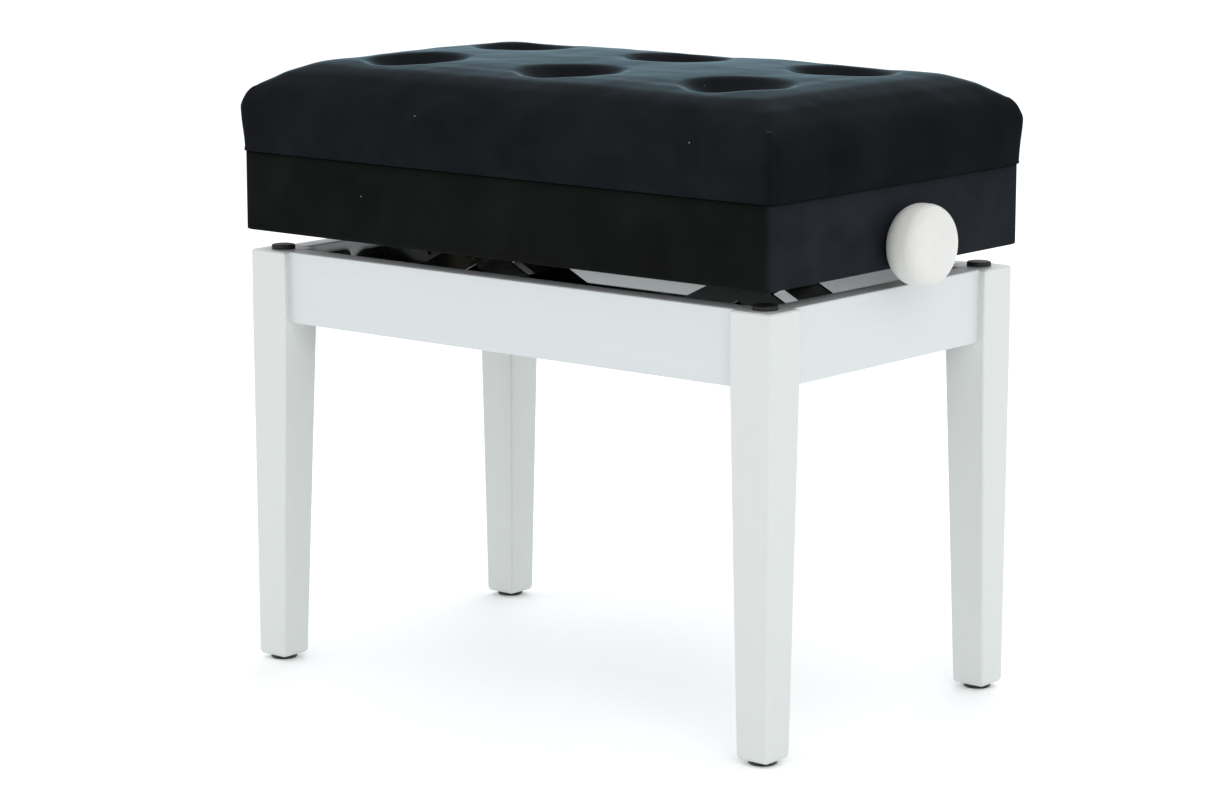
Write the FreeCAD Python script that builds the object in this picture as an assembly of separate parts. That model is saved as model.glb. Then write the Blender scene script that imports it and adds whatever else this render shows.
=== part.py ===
import FreeCAD, Part
import math
import os

"""Height-adjustable piano bench: a painted wooden leg frame, two steel scissor lifts driven by one
lead screw with opposite threads, and an upholstered seat box with a button-tufted cushion.

Millimetres, +Z up. X runs along the bench towards the knob, Y from front to rear. The origin is on
the floor, under the middle of the leg frame. The seat is drawn at its stored height, 12.7 mm above
the rubber bumpers on the legs.
"""

V = FreeCAD.Vector
X, Y, Z = V(1, 0, 0), V(0, 1, 0), V(0, 0, 1)

# Leg frame
FRAME_LENGTH = 536.0
FRAME_WIDTH = 322.4
FRAME_TOP = 347.7
LEG_SIZE = 38.0
LEG_FOOT_SIZE = 29.0
LEG_OUTER_TAPER = 1.0
LEG_EDGE_RADIUS = 1.8
LEG_END_CHAMFER = 1.2
RAIL_HEIGHT = 59.0
RAIL_THICKNESS = 20.0
RAIL_SETBACK = 6.3
RAIL_EDGE_RADIUS = 1.2
GLIDE_RADIUS = 11.0
GLIDE_HEIGHT = 4.0
GLIDE_CHAMFER = 1.0
NAIL_RADIUS = 1.4
NAIL_LENGTH = 14.0
NAIL_HEAD_RADIUS = 3.5
NAIL_HEAD_HEIGHT = 1.0
BUMPER_RADIUS = 9.8
BUMPER_HEIGHT = 3.6
BUMPER_EDGE_RADIUS = 1.2
BUMPER_STEM_RADIUS = 2.8
BUMPER_STEM_LENGTH = 9.0

# Corner brackets that pull the legs into the rails
BRACKET_SHEET = 2.0
BRACKET_FLANGE = 37.0
BRACKET_BOTTOM = 296.0
BRACKET_HEIGHT = 44.0
BRACKET_LEG_GAP = 2.4
BRACKET_CORNER_RADIUS = 6.0
LEG_BOLT_RADIUS = 3.0
LEG_BOLT_IN_LEG = 24.0
LEG_BOLT_OUT = 14.0
WASHER_RADIUS = 10.0
WASHER_THICKNESS = 1.6
NUT_RADIUS = 6.2
NUT_HEIGHT = 5.0
SCREW_RADIUS = 2.0
SCREW_LENGTH = 13.0
SCREW_HEAD_RADIUS = 3.9
SCREW_HEAD_HEIGHT = 2.2
BRACKET_SCREW_INSET = 12.7
BRACKET_SCREW_EDGE = 7.0
SCREW_POINT_COVER = 1.5

# Scissor lifts
ARM_LENGTH = 186.0
ARM_WIDTH = 22.0
ARM_SHEET = 3.0
OUTER_ARM_Y = 30.0
ARM_GAP = 3.0
PIVOT_INSET = 19.7
LOWER_PIVOT_Z = 301.0
PIN_RADIUS = 4.0
PIN_HEAD_RADIUS = 6.0
JOURNAL_RADIUS = 5.0
RUNNING_CLEARANCE = 0.05
SLOT_CLEARANCE = 0.1
PIN_END = 1.5
WEB_START = 16.0
WEB_LENGTH = 44.0
RAIL_GAP = 2.0
SEAT_RISE = 80.0
SLOT_SPARE = 3.0

# Steel rails and plates that carry the scissor pivots
PLATE = 2.5
BASE_RAIL_BOTTOM = 290.5
BASE_RAIL_TOP = 315.0
STEEL_FLANGE = 20.0
END_PLATE_HALF_WIDTH = 68.0
END_PLATE_TOP = 338.0
END_PLATE_CORNER_RADIUS = 18.0
END_SCREW_EDGE = 11.0
END_SCREWS_HIGH_Y = 30.0
END_SCREWS_LOW_Y = 44.0
SHOE_LENGTH = 18.0
SHOE_HALF_HEIGHT = 6.4
SHOE_END_RADIUS = 5.8
UPPER_RAIL_DROP = 11.5
RAIL_SCREW_SPACING = 125.0

# Lead screw and knob
SCREW_AXIS_Z = 384.2
LEAD_SCREW_RADIUS = 6.0
NUT_BODY_RADIUS = 10.0
BEARING_HALF_WIDTH = 24.0
BEARING_OUTSET = 15.0
BEARING_DROP = 15.5
COLLAR_RADIUS = 10.0
COLLAR_WIDTH = 8.0
KNOB_RADIUS = 32.0
KNOB_LENGTH = 42.0
KNOB_GAP = 2.1
KNOB_FRONT_RADIUS = 13.0
KNOB_BACK_RADIUS = 8.0
KNOB_DOME = 3.0
KNOB_SOCKET = 24.0
SCREW_HOLE_RADIUS = 9.0

# Seat box
SEAT_OVERHANG_X = 0.9
SEAT_OVERHANG_Y = 2.9
SKIRT_GAP = 16.3
SKIRT_HEIGHT = 65.2
SKIRT_BOARD = 15.0
VELVET = 1.5
SEAT_PANEL = 12.0
SEAM_GAP = 0.8

# Cushion
CUSHION_OVERHANG = 2.8
CUSHION_BULGE = 4.0
CUSHION_SIDE_HEIGHT = 38.0
CUSHION_HEIGHT = 78.0
CUSHION_CORNER_RADIUS = 12.0
CUSHION_BOARD = 9.0
CUSHION_SCREW_INSET = 35.0
SHOULDER_INSETS = ((0.22, 5.0), (0.38, 12.0), (0.63, 33.0), (0.88, 62.0), (1.0, 88.0))
TUFT_SPACING_X = 167.0
TUFT_SPACING_Y = 140.0
DIMPLE_RADIUS = 48.0
DIMPLE_DEPTH = 19.0
BUTTON_RADIUS = 11.0
BUTTON_HEIGHT = 6.0
BUTTON_EDGE = 1.8
TIE_RADIUS = 1.5
TIE_IN_BOARD = 3.0

# Derived places
HALF_LENGTH = FRAME_LENGTH / 2
HALF_WIDTH = FRAME_WIDTH / 2
RAIL_OUTER_X = HALF_LENGTH - RAIL_SETBACK
RAIL_OUTER_Y = HALF_WIDTH - RAIL_SETBACK
ROOM_X = RAIL_OUTER_X - RAIL_THICKNESS
ROOM_Y = RAIL_OUTER_Y - RAIL_THICKNESS
RAIL_BOTTOM = FRAME_TOP - RAIL_HEIGHT
LEG_X = HALF_LENGTH - LEG_SIZE / 2
LEG_Y = HALF_WIDTH - LEG_SIZE / 2
FOOT_X = HALF_LENGTH - LEG_OUTER_TAPER - LEG_FOOT_SIZE / 2
FOOT_Y = HALF_WIDTH - LEG_OUTER_TAPER - LEG_FOOT_SIZE / 2

SEAT_LENGTH = FRAME_LENGTH + 2 * SEAT_OVERHANG_X
SEAT_WIDTH = FRAME_WIDTH + 2 * SEAT_OVERHANG_Y
SKIRT_BOTTOM = FRAME_TOP + SKIRT_GAP
SKIRT_TOP = SKIRT_BOTTOM + SKIRT_HEIGHT
PANEL_TOP = SKIRT_TOP + SEAM_GAP
PANEL_BOTTOM = PANEL_TOP - SEAT_PANEL
BOX_X = SEAT_LENGTH / 2 - VELVET
BOX_Y = SEAT_WIDTH / 2 - VELVET
INSIDE_X = BOX_X - SKIRT_BOARD
INSIDE_Y = BOX_Y - SKIRT_BOARD

OUTER_PIVOT_X = ROOM_X - PIVOT_INSET
BEARING_X = OUTER_PIVOT_X + BEARING_OUTSET
LIFT = SCREW_AXIS_Z - LOWER_PIVOT_Z
ARM_ANGLE = math.asin(LIFT / ARM_LENGTH)
ARM_RUN = ARM_LENGTH * math.cos(ARM_ANGLE)
SEAT_DROP = SKIRT_GAP - BUMPER_HEIGHT
LOW_RUN = math.sqrt(ARM_LENGTH**2 - (LIFT - SEAT_DROP) ** 2)
HIGH_RUN = math.sqrt(ARM_LENGTH**2 - (LIFT + SEAT_RISE) ** 2)
INNER_PIVOT_X = OUTER_PIVOT_X - ARM_RUN
CROSSING = V(OUTER_PIVOT_X - ARM_RUN / 2, 0, LOWER_PIVOT_Z + LIFT / 2)
SLOT_IN_X = OUTER_PIVOT_X - LOW_RUN
SLOT_OUT_X = OUTER_PIVOT_X - HIGH_RUN
INNER_ARM_Y = OUTER_ARM_Y - ARM_GAP - ARM_SHEET
STEEL_RAIL_Y = OUTER_ARM_Y + ARM_SHEET + RAIL_GAP
PIN_REACH = STEEL_RAIL_Y + PLATE + PIN_END

# How near an edge's height or place must be to count as the one looked for
NEAR = 1.0

SIDES = {"left": -1, "right": 1}
DEPTHS = {"front": -1, "rear": 1}
CORNERS = {f"{d}_{s}": (SIDES[s], DEPTHS[d]) for d in DEPTHS for s in SIDES}


def box(x0, x1, y0, y1, z0, z1):
    low = V(min(x0, x1), min(y0, y1), min(z0, z1))
    return Part.makeBox(abs(x1 - x0), abs(y1 - y0), abs(z1 - z0), low)


def rod(radius, start, end):
    return Part.makeCylinder(radius, (end - start).Length, start, end - start)


def cross_rod(radius, x, z, y0, y1):
    return rod(radius, V(x, y0, z), V(x, y1, z))


def mirrored(shape, normal):
    return shape.mirror(V(0, 0, 0), normal)


def placed(shape, sx, sy):
    """A piece drawn for the right rear corner, moved to the corner with these signs."""
    if sx < 0:
        shape = mirrored(shape, X)
    if sy < 0:
        shape = mirrored(shape, Y)
    return shape


def group(shapes):
    return Part.makeCompound(list(shapes))


def fused(shapes):
    return shapes[0].multiFuse(shapes[1:]).removeSplitter()


def edges_along(shape, direction):
    """The straight edges that run along one of the axes."""
    found = []
    for edge in shape.Edges:
        if edge.Curve.TypeId != "Part::GeomLine":
            continue
        run = edge.Vertexes[-1].Point.sub(edge.Vertexes[0].Point)
        if run.Length and abs(run.dot(direction)) > 0.999 * run.Length:
            found.append(edge)
    return found


def rounded_rectangle(half_x, half_y, radius, z, centre_x=0.0, centre_y=0.0):
    """A closed wire of four sides and four corner arcs."""
    edges = []
    inner_x, inner_y = half_x - radius, half_y - radius
    diagonal = radius / math.sqrt(2)
    signs = ((1, 1, 0), (-1, 1, 90), (-1, -1, 180), (1, -1, 270))
    ends = []
    for sx, sy, turn in signs:
        c, s = math.cos(math.radians(turn)), math.sin(math.radians(turn))
        centre = V(centre_x + sx * inner_x, centre_y + sy * inner_y, z)
        start = centre + V(radius * c, radius * s, 0)
        middle = centre + V(diagonal * (c - s), diagonal * (c + s), 0)
        end = centre + V(-radius * s, radius * c, 0)
        ends.append((start, middle, end))
    for i, (start, middle, end) in enumerate(ends):
        edges.append(Part.Arc(start, middle, end).toShape())
        edges.append(Part.LineSegment(end, ends[(i + 1) % 4][0]).toShape())
    return Part.Wire(edges)


def loft(wires):
    return Part.makeLoft(wires, True, True)


def circles(shape):
    return [edge for edge in shape.Edges if edge.Curve.TypeId == "Part::GeomCircle"]


# Fasteners -------------------------------------------------------------------------------------


def wood_screw(seat, into):
    """A pan-head screw whose head sits at the point seat and whose shank runs along into."""
    into = V(into).normalize()
    shank = rod(SCREW_RADIUS, seat, seat + into * SCREW_LENGTH)
    head = rod(SCREW_HEAD_RADIUS, seat - into * SCREW_HEAD_HEIGHT, seat)
    return fused([shank, head])


# Leg frame -------------------------------------------------------------------------------------


def leg():
    """The right rear leg: square beside the rails, then tapered on its two inner faces."""
    half, foot = LEG_SIZE / 2, LEG_FOOT_SIZE / 2

    def square(size, z, x, y):
        return rounded_rectangle(size, size, LEG_EDGE_RADIUS, z, x, y)

    chamfer = LEG_END_CHAMFER
    shoulder = square(half, FRAME_TOP - chamfer, LEG_X, LEG_Y)
    block = loft([square(half, RAIL_BOTTOM, LEG_X, LEG_Y), shoulder])
    cap = loft([shoulder, square(half - chamfer, FRAME_TOP, LEG_X, LEG_Y)])
    ankle = square(foot, GLIDE_HEIGHT + 2 * chamfer, FOOT_X, FOOT_Y)
    taper = loft([ankle, square(half, RAIL_BOTTOM, LEG_X, LEG_Y)])
    sole = loft([square(foot - chamfer, GLIDE_HEIGHT, FOOT_X, FOOT_Y), ankle])
    return fused([block, cap, taper, sole])


def long_rail():
    """The rear rail, between the two rear legs."""
    reach = HALF_LENGTH - LEG_SIZE
    rail = box(-reach, reach, ROOM_Y, RAIL_OUTER_Y, RAIL_BOTTOM, FRAME_TOP)
    return rail.makeFillet(RAIL_EDGE_RADIUS, edges_along(rail, X))


def end_rail():
    """The right rail, between the two right legs."""
    reach = HALF_WIDTH - LEG_SIZE
    rail = box(ROOM_X, RAIL_OUTER_X, -reach, reach, RAIL_BOTTOM, FRAME_TOP)
    return rail.makeFillet(RAIL_EDGE_RADIUS, edges_along(rail, Y))


def glide():
    disc = rod(GLIDE_RADIUS, V(FOOT_X, FOOT_Y, 0), V(FOOT_X, FOOT_Y, GLIDE_HEIGHT))
    rim = [e for e in circles(disc) if e.BoundBox.ZMax < NEAR]
    return disc.makeChamfer(GLIDE_CHAMFER, rim)


def glide_nail():
    """A nail whose flat head is sunk in the glide and whose point is in the leg."""
    head_z = GLIDE_HEIGHT / 2
    shank = rod(NAIL_RADIUS, V(FOOT_X, FOOT_Y, head_z), V(FOOT_X, FOOT_Y, head_z + NAIL_LENGTH))
    head_low = V(FOOT_X, FOOT_Y, head_z - NAIL_HEAD_HEIGHT)
    head = rod(NAIL_HEAD_RADIUS, head_low, V(FOOT_X, FOOT_Y, head_z))
    return fused([shank, head])


def bumper():
    base = V(LEG_X, LEG_Y, FRAME_TOP)
    disc = rod(BUMPER_RADIUS, base, base + Z * BUMPER_HEIGHT)
    rim = [e for e in circles(disc) if e.BoundBox.ZMin > FRAME_TOP + NEAR]
    disc = disc.makeFillet(BUMPER_EDGE_RADIUS, rim)
    stem = rod(BUMPER_STEM_RADIUS, base - Z * BUMPER_STEM_LENGTH, base)
    return fused([disc, stem])


def bracket_folds():
    """Where the bracket's sheet turns: end of flange, two folds beside the leg, end of flange."""
    corner_x, corner_y = HALF_LENGTH - LEG_SIZE, HALF_WIDTH - LEG_SIZE
    total = corner_x + corner_y - BRACKET_LEG_GAP * math.sqrt(2)
    fold_x, fold_y = V(ROOM_X, total - ROOM_X, 0), V(total - ROOM_Y, ROOM_Y, 0)
    return [fold_x - Y * BRACKET_FLANGE, fold_x, fold_y, fold_y - X * BRACKET_FLANGE]


def bracket_axis():
    """The bolt's point in the middle of the bracket's web, and its direction into the leg."""
    folds = bracket_folds()
    middle = (folds[1] + folds[2]) * 0.5 + Z * (BRACKET_BOTTOM + BRACKET_HEIGHT / 2)
    return middle, V(1, 1, 0).normalize()


def corner_bracket():
    """One folded steel strip: a flange on each rail and a web across the corner."""
    first, fold_x, fold_y, last = bracket_folds()
    bend = BRACKET_SHEET * math.tan(math.radians(22.5))
    inside = [
        first - X * BRACKET_SHEET,
        fold_x - X * BRACKET_SHEET - Y * bend,
        fold_y - Y * BRACKET_SHEET - X * bend,
        last - Y * BRACKET_SHEET,
    ]
    outline = [first, fold_x, fold_y, last] + inside[::-1]
    lifted = [p + Z * BRACKET_BOTTOM for p in outline]
    strip = Part.Face(Part.makePolygon(lifted + lifted[:1])).extrude(Z * BRACKET_HEIGHT)
    across_flanges = edges_along(strip, X) + edges_along(strip, Y)
    ends = [e for e in across_flanges if e.Length < BRACKET_SHEET + NEAR]
    return strip.makeFillet(BRACKET_CORNER_RADIUS, ends).cut(leg_bolt())


def bracket_screws():
    """Two screws, one above the other, through each flange."""
    folds = bracket_folds()
    low = BRACKET_BOTTOM + BRACKET_SCREW_EDGE
    high = BRACKET_BOTTOM + BRACKET_HEIGHT - BRACKET_SCREW_EDGE
    screws = []
    for z in (low, high):
        on_end = folds[1] - Y * BRACKET_SCREW_INSET - X * BRACKET_SHEET + Z * z
        on_long = folds[2] - X * BRACKET_SCREW_INSET - Y * BRACKET_SHEET + Z * z
        screws += [wood_screw(on_end, X), wood_screw(on_long, Y)]
    return screws


def leg_bolt():
    middle, into = bracket_axis()
    return rod(LEG_BOLT_RADIUS, middle - into * LEG_BOLT_OUT, middle + into * LEG_BOLT_IN_LEG)


def leg_washer():
    middle, into = bracket_axis()
    face = middle - into * BRACKET_SHEET
    ring = rod(WASHER_RADIUS, face - into * WASHER_THICKNESS, face)
    return ring.cut(leg_bolt())


def leg_nut():
    middle, into = bracket_axis()
    face = middle - into * (BRACKET_SHEET + WASHER_THICKNESS)
    across = V(-into.y, into.x, 0)
    corners = []
    for i in range(7):
        turn = math.radians(60 * i)
        corners.append(face + across * (NUT_RADIUS * math.cos(turn)) + Z * (NUT_RADIUS * math.sin(turn)))
    hexagon = Part.Face(Part.makePolygon(corners)).extrude(into * -NUT_HEIGHT)
    return hexagon.cut(leg_bolt())


# Lift base -------------------------------------------------------------------------------------


def slot(sign, z, half_height, spare):
    """A round-ended slot through a steel rail, for what slides in it between the lift's two limits."""
    y0, y1 = STEEL_RAIL_Y, STEEL_RAIL_Y + PLATE
    ends_x = [sign * (SLOT_IN_X - spare), sign * (SLOT_OUT_X + spare)]
    window = box(*ends_x, y0, y1, z - half_height, z + half_height)
    return fused([window] + [cross_rod(half_height, x, z, y0, y1) for x in ends_x])


def pierced(rail, z, half_height, spare):
    """A steel rail with, at each end, a slot for what slides and a hole for the fixed pivot."""
    for sign in (-1, 1):
        rail = rail.cut(slot(sign, z, half_height, spare))
        rail = rail.cut(cross_rod(PIN_RADIUS, sign * OUTER_PIVOT_X, z, STEEL_RAIL_Y, PIN_REACH))
    return rail


def base_rail():
    """The rear steel angle under the scissors, from end plate to end plate."""
    reach = ROOM_X - PLATE
    y0, y1 = STEEL_RAIL_Y, STEEL_RAIL_Y + PLATE
    upright = box(-reach, reach, y0, y1, BASE_RAIL_BOTTOM, BASE_RAIL_TOP)
    foot = box(-reach, reach, y0, y0 + STEEL_FLANGE, BASE_RAIL_BOTTOM, BASE_RAIL_BOTTOM + PLATE)
    half = SHOE_HALF_HEIGHT + SLOT_CLEARANCE
    return pierced(fused([upright, foot]), LOWER_PIVOT_Z, half, SHOE_LENGTH / 2 - half + SLOT_SPARE)


def end_plate():
    """The upright plate screwed inside the right end rail, which both base rails are welded to."""
    half = END_PLATE_HALF_WIDTH
    plate = box(ROOM_X - PLATE, ROOM_X, -half, half, BASE_RAIL_BOTTOM, END_PLATE_TOP)
    corners = [e for e in edges_along(plate, X) if e.BoundBox.ZMin > END_PLATE_TOP - NEAR]
    plate = plate.makeFillet(END_PLATE_CORNER_RADIUS, corners)
    reach, low = STEEL_RAIL_Y + STEEL_FLANGE, BASE_RAIL_BOTTOM
    return fused([plate, box(ROOM_X - PLATE, ROOM_X, -reach, reach, low, low + PLATE)])


def end_plate_screws():
    x = ROOM_X - PLATE
    top, bottom = END_PLATE_TOP - END_SCREW_EDGE, BASE_RAIL_TOP - END_SCREW_EDGE
    spots = [(sign * END_SCREWS_HIGH_Y, top) for sign in (-1, 1)]
    spots += [(sign * END_SCREWS_LOW_Y, bottom) for sign in (-1, 0, 1)]
    return [wood_screw(V(x, y, z), X) for y, z in spots]


def lower_pivot(x, y_sign):
    """A riveted pin, fixed in the base rail, that the outer arm turns on."""
    start, end = OUTER_ARM_Y - PIN_END, PIN_REACH
    pin = cross_rod(PIN_RADIUS, x, LOWER_PIVOT_Z, y_sign * start, y_sign * end)
    head = cross_rod(PIN_HEAD_RADIUS, x, LOWER_PIVOT_Z, y_sign * (start - PIN_END), y_sign * start)
    tail = cross_rod(PIN_HEAD_RADIUS, x, LOWER_PIVOT_Z, y_sign * (end - PIN_END), y_sign * end)
    return fused([pin, head, tail])


# Scissor arms ----------------------------------------------------------------------------------


def arm_plate(start, end, y, holes):
    """A flat bar with round ends between two pivots, with a hole for each (centre, radius)."""
    half = ARM_WIDTH / 2
    run = (end - start).normalize()
    side = V(-run.z, 0, run.x) * half
    corners = [start + side, end + side, end - side, start - side, start + side]
    bar = Part.Face(Part.makePolygon([V(p.x, y, p.z) for p in corners])).extrude(Y * ARM_SHEET)
    rounds = [cross_rod(half, p.x, p.z, y, y + ARM_SHEET) for p in (start, end)]
    bar = fused([bar] + rounds)
    for centre, radius in holes:
        bar = bar.cut(cross_rod(radius + RUNNING_CLEARANCE, centre.x, centre.z, y, y + ARM_SHEET))
    return bar


def arm_frame(start, end, inner_y, holes):
    """Two arm plates joined by a broad web along their lower edges, beside the start pivot."""
    plates = [arm_plate(start, end, y, holes) for y in (inner_y, -inner_y - ARM_SHEET)]
    run = (end - start).normalize()
    down = V(run.z, 0, -run.x)
    if down.z > 0:
        down = down * -1
    edge = start + run * WEB_START + down * (ARM_WIDTH / 2)
    far, up = edge + run * WEB_LENGTH, down * -ARM_SHEET
    corners = [edge, far, far + up, edge + up]
    reach = inner_y + ARM_SHEET / 2
    face = Part.Face(Part.makePolygon([V(p.x, -reach, p.z) for p in corners + corners[:1]]))
    return fused(plates + [face.extrude(Y * (2 * reach))])


def outer_arm():
    """Right lift: from the fixed lower pivot at the bench's end up to the screw's nut."""
    start, end = V(OUTER_PIVOT_X, 0, LOWER_PIVOT_Z), V(INNER_PIVOT_X, 0, SCREW_AXIS_Z)
    holes = [(start, PIN_RADIUS), (end, JOURNAL_RADIUS)]
    frame = arm_frame(start, end, OUTER_ARM_Y, holes)
    return frame.cut(cross_rod(PIN_RADIUS, CROSSING.x, CROSSING.z, -PIN_REACH, PIN_REACH))


def inner_arm():
    """Right lift: from the sliding lower rod up to the seat's fixed pivot at the bench's end."""
    start, end = V(INNER_PIVOT_X, 0, LOWER_PIVOT_Z), V(OUTER_PIVOT_X, 0, SCREW_AXIS_Z)
    holes = [(end, PIN_RADIUS), (CROSSING, PIN_RADIUS)]
    frame = arm_frame(start, end, INNER_ARM_Y, holes)
    return frame.cut(cross_rod(PIN_RADIUS, INNER_PIVOT_X, LOWER_PIVOT_Z, -PIN_REACH, PIN_REACH))


def crossing_rod():
    """The rod through the middle of both arms, riveted over outside the outer arm."""
    reach = OUTER_ARM_Y + ARM_SHEET
    pin = cross_rod(PIN_RADIUS, CROSSING.x, CROSSING.z, -reach, reach)
    head = cross_rod(PIN_HEAD_RADIUS, CROSSING.x, CROSSING.z, reach, reach + PIN_END)
    return fused([pin, head, mirrored(head, Y)])


def slide_rod():
    """The rod across the inner arm's lower end, with its ends in the sliding shoes."""
    return cross_rod(PIN_RADIUS, INNER_PIVOT_X, LOWER_PIVOT_Z, -PIN_REACH, PIN_REACH)


def slide_shoes():
    """Two nylon blocks that run in the base rails' slots and stay level."""
    half = SHOE_LENGTH / 2
    z0, z1 = LOWER_PIVOT_Z - SHOE_HALF_HEIGHT, LOWER_PIVOT_Z + SHOE_HALF_HEIGHT
    y0, y1 = STEEL_RAIL_Y - RAIL_GAP / 4, STEEL_RAIL_Y + PLATE + PIN_END / 2
    block = box(INNER_PIVOT_X - half, INNER_PIVOT_X + half, y0, y1, z0, z1)
    block = block.makeFillet(SHOE_END_RADIUS, edges_along(block, Y))
    hole = cross_rod(PIN_RADIUS + RUNNING_CLEARANCE, INNER_PIVOT_X, LOWER_PIVOT_Z, y0, y1)
    block = block.cut(hole)
    return [block, mirrored(block, Y)]


def screw_nut():
    """The cross-bar that the screw draws along: threaded through its middle, a journal at each end."""
    reach = OUTER_ARM_Y - PIN_END
    bar = cross_rod(NUT_BODY_RADIUS, INNER_PIVOT_X, SCREW_AXIS_Z, -reach, reach)
    journals = cross_rod(JOURNAL_RADIUS, INNER_PIVOT_X, SCREW_AXIS_Z, -PIN_REACH, PIN_REACH)
    across = X * (2 * NUT_BODY_RADIUS)
    middle = V(INNER_PIVOT_X, 0, SCREW_AXIS_Z)
    hole = rod(LEAD_SCREW_RADIUS + RUNNING_CLEARANCE, middle - across, middle + across)
    return fused([bar, journals]).cut(hole)


# Seat ------------------------------------------------------------------------------------------


def upper_rail():
    """The rear steel angle under the seat panel, with the scissors' fixed and sliding pivots."""
    reach = OUTER_PIVOT_X + ARM_WIDTH / 2
    y0, y1 = STEEL_RAIL_Y, STEEL_RAIL_Y + PLATE
    low = SCREW_AXIS_Z - UPPER_RAIL_DROP
    upright = box(-reach, reach, y0, y1, low, PANEL_BOTTOM)
    flange = box(-reach, reach, y0, y0 + STEEL_FLANGE, PANEL_BOTTOM - PLATE, PANEL_BOTTOM)
    rail = fused([upright, flange])
    return pierced(rail, SCREW_AXIS_Z, JOURNAL_RADIUS + SLOT_CLEARANCE, SLOT_SPARE)


def upper_pivot(x, y_sign):
    """A shouldered pin, fixed in the upper rail, that the inner arm turns on."""
    start, end = INNER_ARM_Y - PIN_END, PIN_REACH
    pin = cross_rod(PIN_RADIUS, x, SCREW_AXIS_Z, y_sign * start, y_sign * end)
    head = cross_rod(PIN_HEAD_RADIUS, x, SCREW_AXIS_Z, y_sign * (start - PIN_END), y_sign * start)
    shoulder_start = INNER_ARM_Y + ARM_SHEET + RAIL_GAP / 4
    shoulder = cross_rod(PIN_HEAD_RADIUS, x, SCREW_AXIS_Z, y_sign * shoulder_start, y_sign * STEEL_RAIL_Y)
    return fused([pin, head, shoulder])


def screw_bearing():
    """The right hanging plate that the lead screw turns in, with its flange under the panel."""
    half = BEARING_HALF_WIDTH
    low, high = SCREW_AXIS_Z - BEARING_DROP, PANEL_BOTTOM
    outer = BEARING_X + PLATE / 2
    plate = box(outer - PLATE, outer, -half, half, low, high)
    flange = box(BEARING_X - STEEL_FLANGE, outer, -half, half, high - PLATE, high)
    plate = fused([plate, flange])
    corners = [e for e in edges_along(plate, X) if e.BoundBox.ZMax < low + NEAR]
    plate = plate.makeFillet(BRACKET_CORNER_RADIUS, corners)
    hole = rod(LEAD_SCREW_RADIUS + RUNNING_CLEARANCE, V(0, 0, SCREW_AXIS_Z), V(SEAT_LENGTH, 0, SCREW_AXIS_Z))
    return plate.cut(hole)


def steel_screws():
    """Screws that hold the upper rails and the screw bearings up to the seat panel."""
    screws = []
    under = PANEL_BOTTOM - PLATE
    end_x = OUTER_PIVOT_X - ARM_WIDTH
    flange_y = STEEL_RAIL_Y + (PLATE + STEEL_FLANGE) / 2
    for sx in (-1, 1):
        for sy in (-1, 1):
            for x in (end_x, end_x - RAIL_SCREW_SPACING):
                screws.append(panel_screw(V(sx * x, sy * flange_y, under)))
            place = V(sx * (BEARING_X - STEEL_FLANGE / 2), sy * BEARING_HALF_WIDTH / 2, under)
            screws.append(panel_screw(place))
    return screws


def panel_screw(seat):
    """A short pan-head screw driven up into the seat panel."""
    shank = rod(SCREW_RADIUS, seat, seat + Z * (SEAT_PANEL - SCREW_POINT_COVER))
    head = rod(SCREW_HEAD_RADIUS, seat - Z * SCREW_HEAD_HEIGHT, seat)
    return fused([shank, head])


def cushion_screws():
    """Long screws from below that hold the cushion's board down on the seat panel."""
    length = SEAT_PANEL + VELVET + CUSHION_BOARD - SCREW_POINT_COVER
    screws = []
    for sx in (-1, 0, 1):
        for sy in (-1, 1):
            x, y = sx * (INSIDE_X - CUSHION_SCREW_INSET), sy * (INSIDE_Y - CUSHION_SCREW_INSET)
            seat = V(x, y, PANEL_BOTTOM)
            shank = rod(SCREW_RADIUS, seat, seat + Z * length)
            head = rod(SCREW_HEAD_RADIUS, seat - Z * SCREW_HEAD_HEIGHT, seat)
            screws.append(fused([shank, head]))
    return screws


def long_skirt_board():
    """The rear board of the seat box; the end boards fit between the long ones."""
    return box(-BOX_X, BOX_X, INSIDE_Y, BOX_Y, SKIRT_BOTTOM + VELVET, SKIRT_TOP)


def end_skirt_board(drilled):
    """The right board of the seat box, drilled where the lead screw passes."""
    board = box(INSIDE_X, BOX_X, -INSIDE_Y, INSIDE_Y, SKIRT_BOTTOM + VELVET, SKIRT_TOP)
    return board.cut(screw_passage()) if drilled else board


def screw_passage():
    return rod(SCREW_HOLE_RADIUS, V(INSIDE_X, 0, SCREW_AXIS_Z), V(SEAT_LENGTH, 0, SCREW_AXIS_Z))


def skirt_cover():
    """Velvet round the four boards, turned under their lower edges."""
    low, high = SKIRT_BOTTOM, SKIRT_TOP
    reach_x, reach_y = SEAT_LENGTH / 2, SEAT_WIDTH / 2
    outer = box(-reach_x, reach_x, -reach_y, reach_y, low, high)
    level_edges = edges_along(outer, X) + edges_along(outer, Y)
    low_edges = [e for e in level_edges if e.BoundBox.ZMax < low + NEAR]
    outer = outer.makeFillet(VELVET, low_edges + edges_along(outer, Z))
    boards = box(-BOX_X, BOX_X, -BOX_Y, BOX_Y, low + VELVET, high)
    opening = box(-INSIDE_X, INSIDE_X, -INSIDE_Y, INSIDE_Y, low, high)
    return outer.cut(boards).cut(opening).cut(screw_passage())


def seat_panel():
    return box(-INSIDE_X, INSIDE_X, -INSIDE_Y, INSIDE_Y, PANEL_BOTTOM, PANEL_TOP)


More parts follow.
